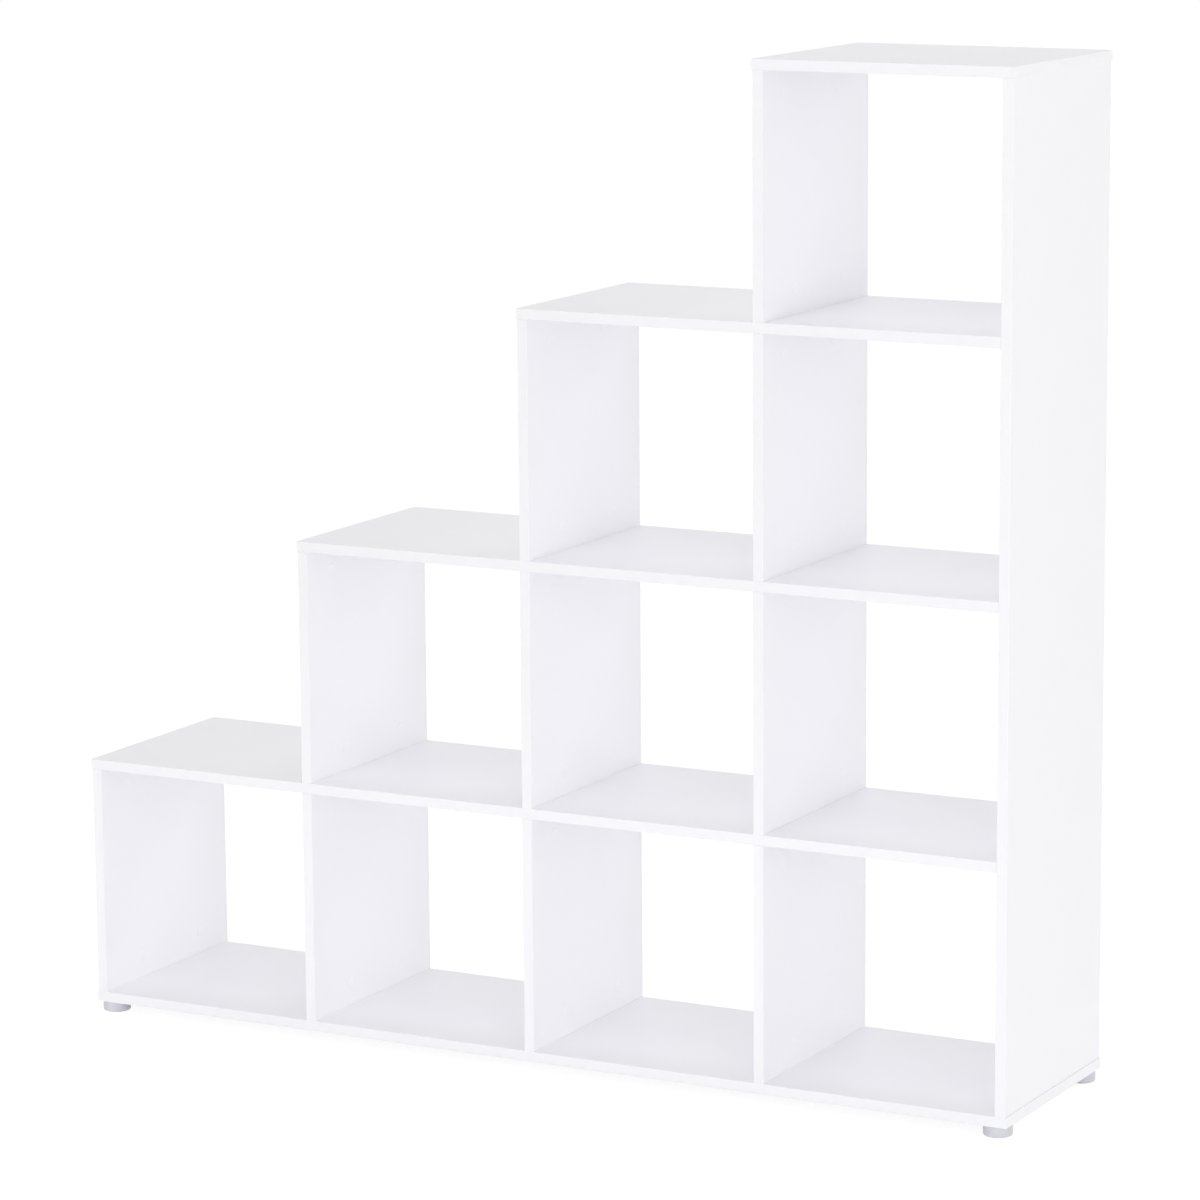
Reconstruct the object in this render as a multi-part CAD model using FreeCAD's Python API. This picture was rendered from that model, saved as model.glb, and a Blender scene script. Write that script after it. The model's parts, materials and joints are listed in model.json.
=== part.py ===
import FreeCAD, Part
import os
from FreeCAD import Matrix, Placement, Vector

# A free-standing staircase bookshelf of white melamine-faced boards. All sizes are in millimetres.
# The origin is on the floor, at the middle of the footprint: +X is to the tall end, +Y to the back, +Z up.
# Boards lie on levels, from the bottom board (level 0) to the top board. Row 1 stands on the bottom board,
# and each row starts one column further right than the row under it.

# Overall sizes of the shelf
overall_width = 1450.0
overall_depth = 330.0
overall_height = 1425.0
column_count = 4
board_thickness = 15.0
# How far a board's free end stands out past the upright under it
end_overhang = 2.0

# Edging strips on the boards' free edges
edging_thickness = 1.0
edging_rounding = 0.8
# The most of a strip's thickness that its rounding may take
rounding_limit_share = 0.9
# Hairline between the strip on a board's end and those at its front and back
edging_joint_gap = 0.1

# Broken arris round the faces of an end that is joined to another board
joint_arris = 0.25

# Rows of holes along the depth: a front group and a back group of four, the same in every joint.
# Of each four, the first two serve the upright under a board, and the last two the upright that stands on it.
first_hole_inset = 35.0
last_hole_inset = 45.0
hole_spacing = 32.0
holes_in_group = 4

# Cam locks, set into a board's face near the end that is joined
cam_diameter = 15.0
# Board left under the cam
cam_floor = 2.7
# How far the cam's front lies below the board's face
cam_recess = 0.3
# Distance of the cam's axis from the joined end
cam_setback = 34.0
cam_clearance = 0.2
cam_slot_length = 8.0
cam_slot_width = 1.5
cam_slot_depth = 1.8

# Cam bolts, screwed into the face of the board that the end meets
bolt_thread_diameter = 5.0
# Board left past the tip of the bolt
bolt_tip_cover = 4.0
bolt_collar_diameter = 7.0
bolt_collar_length = 1.5
bolt_shank_diameter = 5.5
bolt_neck_diameter = 4.0
bolt_head_diameter = 6.5
bolt_head_length = 3.0
# How far the head reaches past the cam's axis
bolt_head_past_axis = 1.5
bolt_clearance = 0.3
thread_clearance = 0.15

# Cover caps pressed into the cams
cap_diameter = 17.0
cap_rim_height = 0.3
cap_bevel_width = 1.5
cap_height = 0.8
cap_stem_diameter = 5.0
# Room between the end of the stem and the bolt's head
cap_stem_gap = 1.25
cap_clearance = 0.2

# Wooden dowels
dowel_diameter = 8.0
dowel_in_end = 18.0
# Board left past the dowel in a face
dowel_tip_cover = 8.0
dowel_chamfer = 0.8
dowel_clearance = 0.15
dowel_end_clearance = 0.5

# Round feet
foot_diameter = 40.0
foot_height = 15.0
foot_edge_rounding = 2.5
# How far the foot's rim lies inside the bottom board's edges
foot_edge_margin = 0.5
# Plastic between the screw's head and the board
foot_seat_thickness = 6.0
foot_well_diameter = 10.0

# Foot screws
screw_shank_diameter = 3.5
screw_head_diameter = 8.0
screw_head_height = 2.4
screw_tip_length = 3.0
# Board left past the tip of the screw
screw_tip_cover = 3.5
screw_slot_length = 4.5
screw_slot_width = 1.0
screw_slot_depth = 1.2
screw_clearance = 0.15

# How far cutting shapes run out past the face that they cut
cut_overrun = 1.0
full_turn = 360.0

X_AXIS = Vector(1, 0, 0)
Y_AXIS = Vector(0, 1, 0)
Z_AXIS = Vector(0, 0, 1)
SIDE_NORMALS = {
    "left": -X_AXIS,
    "right": X_AXIS,
    "front": -Y_AXIS,
    "back": Y_AXIS,
    "under": -Z_AXIS,
    "top": Z_AXIS,
}

# Sizes worked out from those above
column_pitch = (overall_width - 2 * end_overhang - board_thickness) / column_count
level_pitch = (overall_height - foot_height - board_thickness) / column_count
left_end = -overall_width / 2
right_end = overall_width / 2
front_edge = -overall_depth / 2
back_edge = overall_depth / 2
half_board = board_thickness / 2
cam_height = board_thickness - cam_recess - cam_floor
bolt_thread_length = board_thickness - bolt_tip_cover
bolt_head_end = cam_setback + bolt_head_past_axis
bolt_head_start = bolt_head_end - bolt_head_length
bolt_neck_start = cam_setback - cam_diameter / 2 - bolt_clearance
cap_stem_length = half_board - bolt_head_diameter / 2 - cap_stem_gap
dowel_in_face = board_thickness - dowel_tip_cover
screw_length = foot_seat_thickness + board_thickness - screw_tip_cover
foot_inset = foot_diameter / 2 + foot_edge_margin
hole_group_length = (holes_in_group - 1) * hole_spacing
hole_group_starts = (front_edge + first_hole_inset, back_edge - last_hole_inset - hole_group_length)

# Which hole of a group takes the dowel and which the cam bolt, for each kind of joint
HEAD_HOLES = {"dowel": 0, "cam": 1}
FOOT_HOLES = {"cam": 2, "dowel": 3}
SIDE_HOLES = {"cam": 1, "dowel": 2}


def upright_left(column):
    """X of the left face of the upright at a column; past the last column this is the right side panel."""
    return left_end + end_overhang + column * column_pitch


def level_under(level):
    """Z of the underside of the board on a level."""
    return foot_height + level * level_pitch


def level_top(level):
    """Z of the upper face of the board on a level."""
    return level_under(level) + board_thickness


def placed(shape, point, along, outward):
    """A copy of a shape drawn at the origin, with its Z turned to along and its X to outward."""
    across = along.cross(outward)
    turn = Matrix(
        outward.x, across.x, along.x, point.x,
        outward.y, across.y, along.y, point.y,
        outward.z, across.z, along.z, point.z,
        0, 0, 0, 1,
    )
    copy = shape.copy()
    copy.Placement = Placement(turn)
    return copy


def turned(points):
    """A solid of revolution about Z, from an outline of (radius, height) points."""
    outline = [Vector(radius, 0, height) for radius, height in points]
    face = Part.Face(Part.makePolygon(outline + outline[:1]))
    return face.revolve(Vector(), Z_AXIS, full_turn)


def rod(diameter, start, end):
    """A plain round rod along Z."""
    return Part.makeCylinder(diameter / 2, end - start, Vector(0, 0, start))


def cross_slot(length, width, depth):
    """The cutting shape of a screwdriver cross, sunk from Z = 0 to a depth below it."""
    low = -depth
    high = cut_overrun
    bar = Part.makeBox(length, width, high - low, Vector(-length / 2, -width / 2, low))
    crossing = Part.makeBox(width, length, high - low, Vector(-width / 2, -length / 2, low))
    return bar.fuse(crossing)


def side_faces(box, sides):
    """The faces of a box on the named sides."""
    normals = [SIDE_NORMALS[side] for side in sides]
    return [face for face in box.Faces if any(round(face.normalAt(0, 0).dot(n)) == 1 for n in normals)]


def faces_beside(edge, faces):
    """How many of some faces meet at an edge."""
    return sum(any(edge.isSame(other) for other in face.Edges) for face in faces)


def rounded_box(low, high, open_sides, radius):
    """A box whose edges between two open sides are rounded."""
    size = high - low
    box = Part.makeBox(size.x, size.y, size.z, low)
    open_faces = side_faces(box, open_sides)
    edges = [edge for edge in box.Edges if faces_beside(edge, open_faces) == 2]
    return box.makeFillet(radius, edges)


def core_corners(low, high, edged):
    """The corners of the chipboard inside a board's edging."""
    core_low = Vector(low)
    core_high = Vector(high)
    if "left" in edged:
        core_low.x += edging_thickness
    if "right" in edged:
        core_high.x -= edging_thickness
    if "front" in edged:
        core_low.y += edging_thickness
    if "back" in edged:
        core_high.y -= edging_thickness
    return core_low, core_high


def board_core(low, high, edged, faces, joined):
    """The chipboard of a board, with a broken arris where a joined end meets its wide faces."""
    core_low, core_high = core_corners(low, high, edged)
    size = core_high - core_low
    box = Part.makeBox(size.x, size.y, size.z, core_low)
    wide_faces = side_faces(box, faces)
    end_faces = side_faces(box, joined)
    edges = [edge for edge in box.Edges if faces_beside(edge, wide_faces) and faces_beside(edge, end_faces)]
    return box.makeChamfer(joint_arris, edges) if edges else box


def edging_strips(low, high, edged, faces):
    """The strips on a board's edged sides; those at front and back also cover the ends of the others."""
    rounding = min(edging_rounding, edging_thickness * rounding_limit_share)
    ends = [side for side in edged if side not in ("front", "back")]
    core_low, core_high = core_corners(low, high, edged)
    strips = []
    for side in edged:
        if side in ends:
            strip_low = Vector(low.x, core_low.y + edging_joint_gap, low.z)
            strip_high = Vector(high.x, core_high.y - edging_joint_gap, high.z)
            open_sides = [side] + faces
        else:
            strip_low = Vector(low)
            strip_high = Vector(high)
            open_sides = [side] + faces + ends
        if side == "front":
            strip_high.y = core_low.y
        elif side == "back":
            strip_low.y = core_high.y
        elif side == "left":
            strip_high.x = core_low.x
        elif side == "right":
            strip_low.x = core_high.x
        strips.append(rounded_box(strip_low, strip_high, open_sides, rounding))
    return strips


def cam_lock():
    """A cam with its axis along Z, its front at Z = 0 and the bolt coming in along +Y."""
    bolt_depth = half_board - cam_recess
    body = rod(cam_diameter, -cam_height, 0)
    neck_way = rod(bolt_neck_diameter + 2 * bolt_clearance, bolt_neck_start - cam_setback, 0)
    head_pocket = rod(
        bolt_head_diameter + 2 * bolt_clearance,
        bolt_head_start - cam_setback - bolt_clearance,
        bolt_head_end - cam_setback + bolt_clearance,
    )
    pockets = [placed(way, Vector(0, 0, -bolt_depth), Y_AXIS, X_AXIS) for way in (neck_way, head_pocket)]
    socket_floor = cam_recess - cap_stem_length - cap_clearance
    stem_socket = rod(cap_stem_diameter + 2 * cap_clearance, socket_floor, cut_overrun)
    slot = cross_slot(cam_slot_length, cam_slot_width, cam_slot_depth)
    return body.cut(pockets + [stem_socket, slot])


def cam_hole():
    """The hole for a cam, with its floor where the cam rests."""
    return rod(cam_diameter + 2 * cam_clearance, -cam_height, cam_recess + cut_overrun)


def cover_cap():
    """A thin bevelled cap on the board's face at Z = 0, with the stem that plugs into the cam."""
    stem_radius = cap_stem_diameter / 2
    cap_radius = cap_diameter / 2
    return turned([
        (0, -cap_stem_length),
        (stem_radius, -cap_stem_length),
        (stem_radius, 0),
        (cap_radius, 0),
        (cap_radius, cap_rim_height),
        (cap_radius - cap_bevel_width, cap_height),
        (0, cap_height),
    ])


def cam_bolt():
    """A bolt along Z: its thread is below the joint at Z = 0, and its head is in the cam above it."""
    thread_radius = bolt_thread_diameter / 2
    collar_radius = bolt_collar_diameter / 2
    shank_radius = bolt_shank_diameter / 2
    neck_radius = bolt_neck_diameter / 2
    head_radius = bolt_head_diameter / 2
    return turned([
        (0, -bolt_thread_length),
        (thread_radius, -bolt_thread_length),
        (thread_radius, 0),
        (collar_radius, 0),
        (collar_radius, bolt_collar_length),
        (shank_radius, bolt_collar_length),
        (shank_radius, bolt_neck_start),
        (neck_radius, bolt_neck_start),
        (neck_radius, bolt_head_start),
        (head_radius, bolt_head_start),
        (head_radius, bolt_head_end),
        (0, bolt_head_end),
    ])


def wooden_dowel():
    """A dowel along Z with chamfered ends, across the joint at Z = 0."""
    radius = dowel_diameter / 2
    tip_radius = radius - dowel_chamfer
    return turned([
        (0, -dowel_in_face),
        (tip_radius, -dowel_in_face),
        (radius, dowel_chamfer - dowel_in_face),
        (radius, dowel_in_end - dowel_chamfer),
        (tip_radius, dowel_in_end),
        (0, dowel_in_end),
    ])


def foot():
    """A foot standing on Z = 0, with a well for the screw's head."""
    body = rod(foot_diameter, 0, foot_height)
    rims = [edge for edge in body.Edges if edge.Closed and edge.CenterOfMass.z < foot_height / 2]
    body = body.makeFillet(foot_edge_rounding, rims)
    well = rod(foot_well_diameter, -cut_overrun, foot_height - foot_seat_thickness)
    hole = rod(screw_shank_diameter + 2 * screw_clearance, 0, foot_height + cut_overrun)
    return body.cut([well, hole])


def foot_screw():
    """A screw along Z, with the underside of its head at Z = 0 and its tip up in the bottom board."""
    shank_radius = screw_shank_diameter / 2
    head_radius = screw_head_diameter / 2
    body = turned([
        (0, -screw_head_height),
        (head_radius, -screw_head_height),
        (head_radius, 0),
        (shank_radius, 0),
        (shank_radius, screw_length - screw_tip_length),
        (0, screw_length),
    ])
    slot = cross_slot(screw_slot_length, screw_slot_width, screw_slot_depth)
    return body.cut(placed(slot, Vector(0, 0, -screw_head_height), -Z_AXIS, X_AXIS))


class Shelf:
    """Collects the boards, what is cut from them and the fittings between them."""

    def __init__(self):
        self.cores = {}
        self.edgings = {}
        self.cuts = {}
        self.fittings = {name: [] for name in ("cam_locks", "cam_cover_caps", "cam_bolts", "wooden_dowels")}

    def add_board(self, name, low, high, edged, faces, joined):
        """A board between two corners: its edged sides, its two wide faces and its joined ends are named."""
        self.cores[name] = board_core(low, high, edged, faces, joined)
        self.edgings[name] = edging_strips(low, high, edged, faces)
        self.cuts[name] = []

    def join(self, ended, faced, point, into_end, cam_side, holes):
        """Joins one board's end to another's face, at a point in the middle of the end's thickness."""
        for group_start in hole_group_starts:
            cam_point = Vector(point.x, group_start + holes["cam"] * hole_spacing, point.z)
            self.add_cam(ended, faced, cam_point, into_end, cam_side)
            dowel_point = Vector(point.x, group_start + holes["dowel"] * hole_spacing, point.z)
            self.add_dowel(ended, faced, dowel_point, into_end, cam_side)

    def add_cam(self, ended, faced, point, into_end, cam_side):
        """A cam lock, its cap and its bolt, with their holes."""
        on_face = point + into_end * cam_setback + cam_side * half_board
        cam_front = on_face - cam_side * cam_recess
        across = into_end.cross(cam_side)
        self.fittings["cam_locks"].append(placed(cam_lock(), cam_front, cam_side, across))
        self.fittings["cam_cover_caps"].append(placed(cover_cap(), on_face, cam_side, into_end))
        self.fittings["cam_bolts"].append(placed(cam_bolt(), point, into_end, cam_side))
        bolt_way = rod(bolt_collar_diameter + 2 * bolt_clearance, -cut_overrun, cam_setback)
        thread_hole = rod(bolt_thread_diameter + 2 * thread_clearance, -bolt_thread_length, cut_overrun)
        self.cuts[ended].append(placed(cam_hole(), cam_front, cam_side, into_end))
        self.cuts[ended].append(placed(bolt_way, point, into_end, cam_side))
        self.cuts[faced].append(placed(thread_hole, point, into_end, cam_side))

    def add_dowel(self, ended, faced, point, into_end, cam_side):
        """A dowel across a joint, with its two holes."""
        hole_diameter = dowel_diameter + 2 * dowel_clearance
        end_hole = rod(hole_diameter, -cut_overrun, dowel_in_end + dowel_end_clearance)
        face_hole = rod(hole_diameter, -dowel_in_face - dowel_end_clearance, cut_overrun)
        self.fittings["wooden_dowels"].append(placed(wooden_dowel(), point, into_end, cam_side))
        self.cuts[ended].append(placed(end_hole, point, into_end, cam_side))
        self.cuts[faced].append(placed(face_hole, point, into_end, cam_side))


def level_name(level):
    """The name of the board on a level."""
    if level == 0:
        return "bottom_board"
    if level == column_count:
        return "top_board"
    return f"level_{level}_board"


def upright_name(row, column):
    """The name of an upright; rows count from the floor and uprights from the left, both from 1."""
    return f"row_{row + 1}_upright_{column + 1}"


def add_level_boards(shelf):
    """The bottom board, the level boards that end at the right side panel, and the top board over it."""
    for level in range(column_count + 1):
        first_column = max(level - 1, 0)
        reaches_over = level in (0, column_count)
        right = right_end if reaches_over else upright_left(column_count)
        edged = ["front", "back", "left"]
        joined = []
        if reaches_over:
            edged.append("right")
        else:
            joined.append("right")
        low = Vector(upright_left(first_column) - end_overhang, front_edge, level_under(level))
        high = Vector(right, back_edge, level_top(level))
        shelf.add_board(level_name(level), low, high, edged, ["under", "top"], joined)


def add_uprights(shelf):
    """The one-cell-tall uprights, each joined to the board under it and the board over it."""
    for row in range(column_count):
        for column in range(row, column_count):
            name = upright_name(row, column)
            left = upright_left(column)
            low = Vector(left, front_edge, level_top(row))
            high = Vector(left + board_thickness, back_edge, level_under(row + 1))
            shelf.add_board(name, low, high, ["front", "back"], ["left", "right"], ["under", "top"])
            join_between_levels(shelf, name, left, row, row + 1, X_AXIS)


def add_right_side_panel(shelf):
    """The full-height right side panel, which also holds the right ends of the level boards."""
    name = "right_side_panel"
    left = upright_left(column_count)
    low = Vector(left, front_edge, level_top(0))
    high = Vector(left + board_thickness, back_edge, level_under(column_count))
    shelf.add_board(name, low, high, ["front", "back"], ["left", "right"], ["under", "top"])
    join_between_levels(shelf, name, left, 0, column_count, -X_AXIS)
    for level in range(1, column_count):
        end_middle = Vector(left, 0, level_under(level) + half_board)
        shelf.join(level_name(level), name, end_middle, -X_AXIS, -Z_AXIS, SIDE_HOLES)


def join_between_levels(shelf, name, left, lower_level, upper_level, cam_side):
    """Joins an upright to the boards at its foot and its head."""
    middle = left + half_board
    foot_middle = Vector(middle, 0, level_top(lower_level))
    head_middle = Vector(middle, 0, level_under(upper_level))
    shelf.join(name, level_name(lower_level), foot_middle, Z_AXIS, cam_side, FOOT_HOLES)
    shelf.join(name, level_name(upper_level), head_middle, -Z_AXIS, cam_side, HEAD_HOLES)


def add_feet(shelf):
    """The four feet under the corners of the bottom board, their screws and the screws' holes."""
    feet = {}
    screws = []
    across_places = {"left": left_end + foot_inset, "right": right_end - foot_inset}
    depth_places = {"front": front_edge + foot_inset, "rear": back_edge - foot_inset}
    for depth_name, y in depth_places.items():
        for across_name, x in across_places.items():
            feet[f"{depth_name}_{across_name}_foot"] = placed(foot(), Vector(x, y, 0), Z_AXIS, X_AXIS)
            seat = Vector(x, y, foot_height - foot_seat_thickness)
            screws.append(placed(foot_screw(), seat, Z_AXIS, X_AXIS))
            hole = rod(screw_shank_diameter + 2 * screw_clearance, 0, screw_length + screw_clearance)
            shelf.cuts["bottom_board"].append(placed(hole, seat, Z_AXIS, X_AXIS))
    return feet, screws


def export(name, shapes):
    """Writes one node, as a single solid or as a group of separate solids."""
    shape = shapes[0] if len(shapes) == 1 else Part.makeCompound(shapes)
    shape.exportStep(os.path.join("parts", f"{name}.step"))


def main():
    """Builds the shelf and writes a file for each node."""
    os.makedirs("parts", exist_ok=True)
    shelf = Shelf()
    add_level_boards(shelf)
    add_uprights(shelf)
    add_right_side_panel(shelf)
    feet, screws = add_feet(shelf)
    for name, core in shelf.cores.items():
        export(name, [core.cut(shelf.cuts[name])])
        export(f"{name}_edging", shelf.edgings[name])
    for name, solids in shelf.fittings.items():
        export(name, solids)
    for name, solid in feet.items():
        export(name, [solid])
    export("foot_screws", screws)


main()
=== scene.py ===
import json
import math

import bpy
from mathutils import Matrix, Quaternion, Vector

# A white staircase bookshelf in plain studio light. Lengths are in metres, angles in degrees.
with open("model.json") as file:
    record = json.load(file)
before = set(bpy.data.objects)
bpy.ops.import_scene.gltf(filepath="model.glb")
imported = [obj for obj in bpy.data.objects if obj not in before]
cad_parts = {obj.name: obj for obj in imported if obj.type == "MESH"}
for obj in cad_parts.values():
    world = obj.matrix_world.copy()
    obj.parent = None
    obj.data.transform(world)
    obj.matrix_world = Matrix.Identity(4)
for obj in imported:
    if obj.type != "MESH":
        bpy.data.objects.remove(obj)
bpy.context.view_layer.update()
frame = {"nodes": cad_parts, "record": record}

# The camera: where it stands, which way it looks, and its lens in millimetres
camera_place = Vector((3.167, -5.864, 1.883))
camera_azimuth = 28.149
camera_elevation = 10.522
camera_roll = -0.411
camera_lens = 144.55
camera_sensor = 36.0

# The white room: light from its walls, less from its ceiling, and a pale floor
wall_light = 1.32
ceiling_light = 0.29
backdrop_light = 1.0
floor_half_width = 20.0
# Grey levels of the floor: its glow where it is seen, what it adds to that where light falls on it,
# and how much light it throws back on the object
floor_glow = 0.90
floor_lit = 0.2
floor_bounce = 0.97

# Lamps: where they stand, their width and height, and their power in watts. All aim at the same point.
lamp_aim = Vector((0.0, 0.0, 0.7))
lamps = {
    "right_key": dict(place=(3.7, -3.7, 0.7), width=1.5, height=1.2, power=31.0),
    "right_fill": dict(place=(4.4, -2.7, 0.7), width=1.5, height=1.2, power=7.5),
    "left_fill": dict(place=(-2.2, 0.0, 2.0), width=0.8, height=0.8, power=2.5),
    "top_fill": dict(place=(0.4, -1.8, 4.8), width=2.4, height=1.2, power=12.0),
    "back_fill": dict(place=(0.3, 3.4, 3.2), width=2.4, height=1.6, power=30.5),
    "front_strip": dict(place=(-0.1, -0.75, 0.08), width=2.2, height=0.1, power=0.9),
    "back_strip": dict(place=(-0.1, 0.75, 0.08), width=2.2, height=0.1, power=0.75),
}

# Nearly all of a noise lies between these two values
noise_low = 0.3
noise_high = 0.7


def add_camera():
    """The camera at the photograph's viewing angle."""
    azimuth = math.radians(camera_azimuth)
    elevation = math.radians(camera_elevation)
    level = math.cos(elevation)
    forward = Vector((-math.sin(azimuth) * level, math.cos(azimuth) * level, -math.sin(elevation)))
    data = bpy.data.cameras.new("camera")
    data.lens = camera_lens
    data.sensor_width = camera_sensor
    camera = bpy.data.objects.new("camera", data)
    bpy.context.scene.collection.objects.link(camera)
    roll = Quaternion((0, 0, 1), math.radians(camera_roll))
    camera.location = camera_place
    camera.rotation_euler = (forward.to_track_quat("-Z", "Y") @ roll).to_euler()
    bpy.context.scene.camera = camera


def add_lamp(name, place, width, height, power):
    """A soft rectangular lamp that is neither seen by the camera nor mirrored in the boards."""
    data = bpy.data.lights.new(name, "AREA")
    data.shape = "RECTANGLE"
    data.size = width
    data.size_y = height
    data.energy = power
    lamp = bpy.data.objects.new(name, data)
    bpy.context.scene.collection.objects.link(lamp)
    lamp.location = place
    lamp.rotation_euler = (lamp_aim - lamp.location).to_track_quat("-Z", "Y").to_euler()
    lamp.visible_camera = False
    lamp.visible_glossy = False


def grey(level):
    """A colour without a tint, from 0 for black to 1 for white."""
    return (level, level, level, 1)


def seen_directly(tree):
    """1 for rays from the camera, a mirror or glass, and 0 for rays that only carry light."""
    path = tree.nodes.new("ShaderNodeLightPath")
    seen = path.outputs["Is Camera Ray"]
    for ray in ("Is Glossy Ray", "Is Transmission Ray"):
        either = tree.nodes.new("ShaderNodeMath")
        either.operation = "MAXIMUM"
        tree.links.new(seen, either.inputs[0])
        tree.links.new(path.outputs[ray], either.inputs[1])
        seen = either.outputs[0]
    return seen


def mix_shaders(tree, factor, first, second):
    """The first shader where the factor is 0, and the second where it is 1."""
    mix = tree.nodes.new("ShaderNodeMixShader")
    tree.links.new(factor, mix.inputs["Fac"])
    tree.links.new(first.outputs[0], mix.inputs[1])
    tree.links.new(second.outputs[0], mix.inputs[2])
    return mix


def light_world():
    """Light from the walls and ceiling all round, with a white background behind the object."""
    world = bpy.data.worlds.new("white_room")
    bpy.context.scene.world = world
    world.use_nodes = True
    tree = world.node_tree
    direction = tree.nodes.new("ShaderNodeTexCoord")
    parts = tree.nodes.new("ShaderNodeSeparateXYZ")
    tree.links.new(direction.outputs["Generated"], parts.inputs["Vector"])
    fade = tree.nodes.new("ShaderNodeMapRange")
    fade.inputs["To Min"].default_value = wall_light
    fade.inputs["To Max"].default_value = ceiling_light
    tree.links.new(parts.outputs["Z"], fade.inputs["Value"])
    ambient = tree.nodes["Background"]
    ambient.inputs["Color"].default_value = grey(1)
    tree.links.new(fade.outputs["Result"], ambient.inputs["Strength"])
    backdrop = tree.nodes.new("ShaderNodeBackground")
    backdrop.inputs["Color"].default_value = grey(1)
    backdrop.inputs["Strength"].default_value = backdrop_light
    mix = mix_shaders(tree, seen_directly(tree), ambient, backdrop)
    tree.links.new(mix.outputs["Shader"], tree.nodes["World Output"].inputs["Surface"])


def white_floor():
    """The floor's material: it looks white, and still keeps a soft trace of the object's shadow."""
    material = bpy.data.materials.new("white_floor")
    material.use_nodes = True
    tree = material.node_tree
    tree.nodes.remove(tree.nodes["Principled BSDF"])
    bounce = tree.nodes.new("ShaderNodeBsdfDiffuse")
    bounce.inputs["Color"].default_value = grey(floor_bounce)
    lit = tree.nodes.new("ShaderNodeBsdfDiffuse")
    lit.inputs["Color"].default_value = grey(floor_lit)
    glow = tree.nodes.new("ShaderNodeEmission")
    glow.inputs["Color"].default_value = grey(floor_glow)
    glow.inputs["Strength"].default_value = 1
    looks = tree.nodes.new("ShaderNodeAddShader")
    tree.links.new(lit.outputs["BSDF"], looks.inputs[0])
    tree.links.new(glow.outputs["Emission"], looks.inputs[1])
    mix = mix_shaders(tree, seen_directly(tree), bounce, looks)
    tree.links.new(mix.outputs["Shader"], tree.nodes["Material Output"].inputs["Surface"])
    return material


def add_floor():
    """A wide flat floor under the object."""
    mesh = bpy.data.meshes.new("floor")
    far = floor_half_width
    corners = [(-far, -far, 0), (far, -far, 0), (far, far, 0), (-far, far, 0)]
    mesh.from_pydata(corners, [], [(0, 1, 2, 3)])
    mesh.materials.append(white_floor())
    floor = bpy.data.objects.new("floor", mesh)
    bpy.context.scene.collection.objects.link(floor)


class Finish:
    """A material under construction: a Principled shader that follows noise in the object's coordinates."""

    def __init__(self, name, metallic=0.0):
        self.material = bpy.data.materials.new(name)
        self.material.use_nodes = True
        self.tree = self.material.node_tree
        self.shader = self.tree.nodes["Principled BSDF"]
        self.shader.inputs["Metallic"].default_value = metallic
        self.place = self.tree.nodes.new("ShaderNodeTexCoord").outputs["Object"]
        self.normal = None

    def scaled(self, factors):
        """The object's coordinates, multiplied by a factor for each axis."""
        mapping = self.tree.nodes.new("ShaderNodeMapping")
        mapping.inputs["Scale"].default_value = factors
        self.tree.links.new(self.place, mapping.inputs["Vector"])
        return mapping.outputs["Vector"]

    def noise(self, feature, detail, factors=None):
        """Noise with features that many metres across; a factor under 1 draws them out along its axis."""
        node = self.tree.nodes.new("ShaderNodeTexNoise")
        node.inputs["Scale"].default_value = 1 / feature
        node.inputs["Detail"].default_value = detail
        place = self.scaled(factors) if factors else self.place
        self.tree.links.new(place, node.inputs["Vector"])
        return node.outputs["Fac"]

    def between(self, noise, low, high):
        """A number that follows the noise from low to high."""
        node = self.tree.nodes.new("ShaderNodeMapRange")
        node.inputs["From Min"].default_value = noise_low
        node.inputs["From Max"].default_value = noise_high
        node.inputs["To Min"].default_value = low
        node.inputs["To Max"].default_value = high
        self.tree.links.new(noise, node.inputs["Value"])
        return node.outputs["Result"]

    def colour(self, noise, low, high):
        """Gives the surface a colour that follows the noise from low to high."""
        node = self.tree.nodes.new("ShaderNodeMix")
        node.data_type = "RGBA"
        node.inputs["A"].default_value = (*low, 1)
        node.inputs["B"].default_value = (*high, 1)
        self.tree.links.new(self.between(noise, 0, 1), node.inputs["Factor"])
        self.tree.links.new(node.outputs["Result"], self.shader.inputs["Base Color"])

    def roughness(self, noise, low, high):
        """Gives the surface a roughness that follows the noise from low to high."""
        self.tree.links.new(self.between(noise, low, high), self.shader.inputs["Roughness"])

    def relief(self, noise, depth):
        """Adds relief that follows the noise and is that many metres deep."""
        node = self.tree.nodes.new("ShaderNodeBump")
        node.inputs["Distance"].default_value = depth
        self.tree.links.new(noise, node.inputs["Height"])
        if self.normal is not None:
            self.tree.links.new(self.normal, node.inputs["Normal"])
        self.normal = node.outputs["Normal"]
        self.tree.links.new(self.normal, self.shader.inputs["Normal"])


def white_melamine():
    """Satin white melamine paper: faintly mottled, with a fine pearl embossing."""
    finish = Finish("white_melamine_satin")
    mottle = finish.noise(feature=0.12, detail=3)
    pearl = finish.noise(feature=0.0012, detail=2)
    smudge = finish.noise(feature=0.04, detail=5)
    finish.colour(mottle, low=(0.943, 0.937, 0.967), high=(0.951, 0.945, 0.975))
    finish.roughness(smudge, low=0.38, high=0.48)
    finish.relief(mottle, depth=0.0001)
    finish.relief(pearl, depth=0.00001)
    return finish.material


def white_edging():
    """White plastic edging, a little smoother than the boards."""
    finish = Finish("white_edging_plastic")
    mottle = finish.noise(feature=0.05, detail=3)
    peel = finish.noise(feature=0.003, detail=2)
    finish.colour(mottle, low=(0.938, 0.932, 0.963), high=(0.946, 0.940, 0.971))
    finish.roughness(peel, low=0.32, high=0.42)
    finish.relief(peel, depth=0.00001)
    return finish.material


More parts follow.
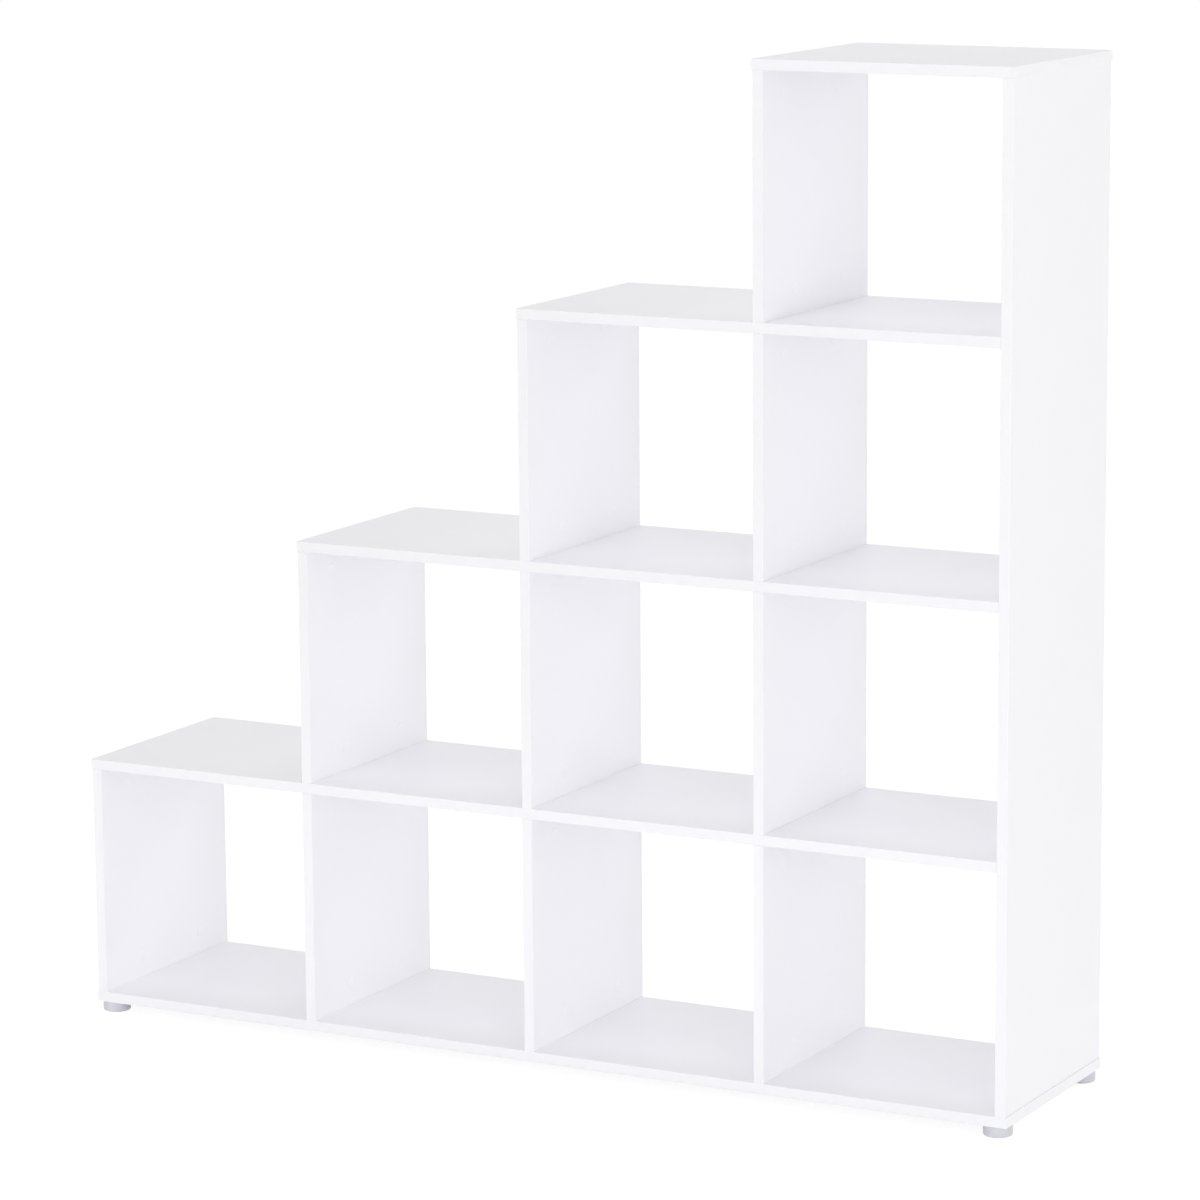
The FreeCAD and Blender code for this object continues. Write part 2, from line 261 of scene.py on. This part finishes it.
def white_cap():
    """Moulded white plastic of the cover caps."""
    finish = Finish("white_cap_plastic")
    mottle = finish.noise(feature=0.006, detail=2)
    grain = finish.noise(feature=0.0005, detail=2)
    finish.colour(mottle, low=(0.953, 0.947, 0.978), high=(0.961, 0.955, 0.985))
    finish.roughness(mottle, low=0.34, high=0.46)
    finish.relief(grain, depth=0.00001)
    return finish.material


def grey_foot():
    """Pale grey moulded plastic with a fine spark-eroded grain."""
    finish = Finish("grey_foot_plastic")
    mottle = finish.noise(feature=0.012, detail=3)
    grain = finish.noise(feature=0.0008, detail=3)
    finish.colour(mottle, low=(0.625, 0.622, 0.675), high=(0.685, 0.682, 0.735))
    finish.roughness(grain, low=0.42, high=0.58)
    finish.relief(grain, depth=0.00003)
    return finish.material


def zinc_cam():
    """Die-cast zinc: dull and slightly uneven."""
    finish = Finish("zinc_cam_metal", metallic=1.0)
    cast = finish.noise(feature=0.003, detail=4)
    grain = finish.noise(feature=0.0006, detail=2)
    finish.colour(cast, low=(0.50, 0.51, 0.54), high=(0.66, 0.67, 0.69))
    finish.roughness(cast, low=0.34, high=0.52)
    finish.relief(cast, depth=0.00004)
    finish.relief(grain, depth=0.00001)
    return finish.material


def steel_bolt():
    """Bright zinc-plated steel with a fine tool-marked surface."""
    finish = Finish("steel_bolt_metal", metallic=1.0)
    tint = finish.noise(feature=0.004, detail=3)
    tooling = finish.noise(feature=0.0004, detail=2)
    finish.colour(tint, low=(0.58, 0.59, 0.60), high=(0.72, 0.73, 0.76))
    finish.roughness(tooling, low=0.22, high=0.36)
    finish.relief(tooling, depth=0.00001)
    return finish.material


def beech_dowel():
    """Pale beech, with its grain and short flecks along the upright dowels."""
    finish = Finish("beech_dowel_wood")
    grain = finish.noise(feature=0.0012, detail=4, factors=(1, 1, 0.1))
    flecks = finish.noise(feature=0.0004, detail=2, factors=(1, 1, 0.2))
    finish.colour(grain, low=(0.50, 0.33, 0.19), high=(0.66, 0.47, 0.29))
    finish.roughness(flecks, low=0.55, high=0.72)
    finish.relief(grain, depth=0.00006)
    finish.relief(flecks, depth=0.00003)
    return finish.material


def dress_nodes():
    """Gives every piece the finish of its material slot."""
    finishes = {
        "white_melamine": white_melamine(),
        "white_edging": white_edging(),
        "white_cap": white_cap(),
        "grey_foot": grey_foot(),
        "zinc_cam": zinc_cam(),
        "steel_bolt": steel_bolt(),
        "beech_dowel": beech_dowel(),
    }
    for subpart in frame["record"]["subparts"]:
        node = frame["nodes"][subpart["node"]]
        node.material_slots[0].material = finishes[subpart["material_slot"]]


bpy.context.scene.view_settings.view_transform = "Standard"
add_camera()
light_world()
add_floor()
for lamp_name, lamp in lamps.items():
    add_lamp(lamp_name, **lamp)
dress_nodes()
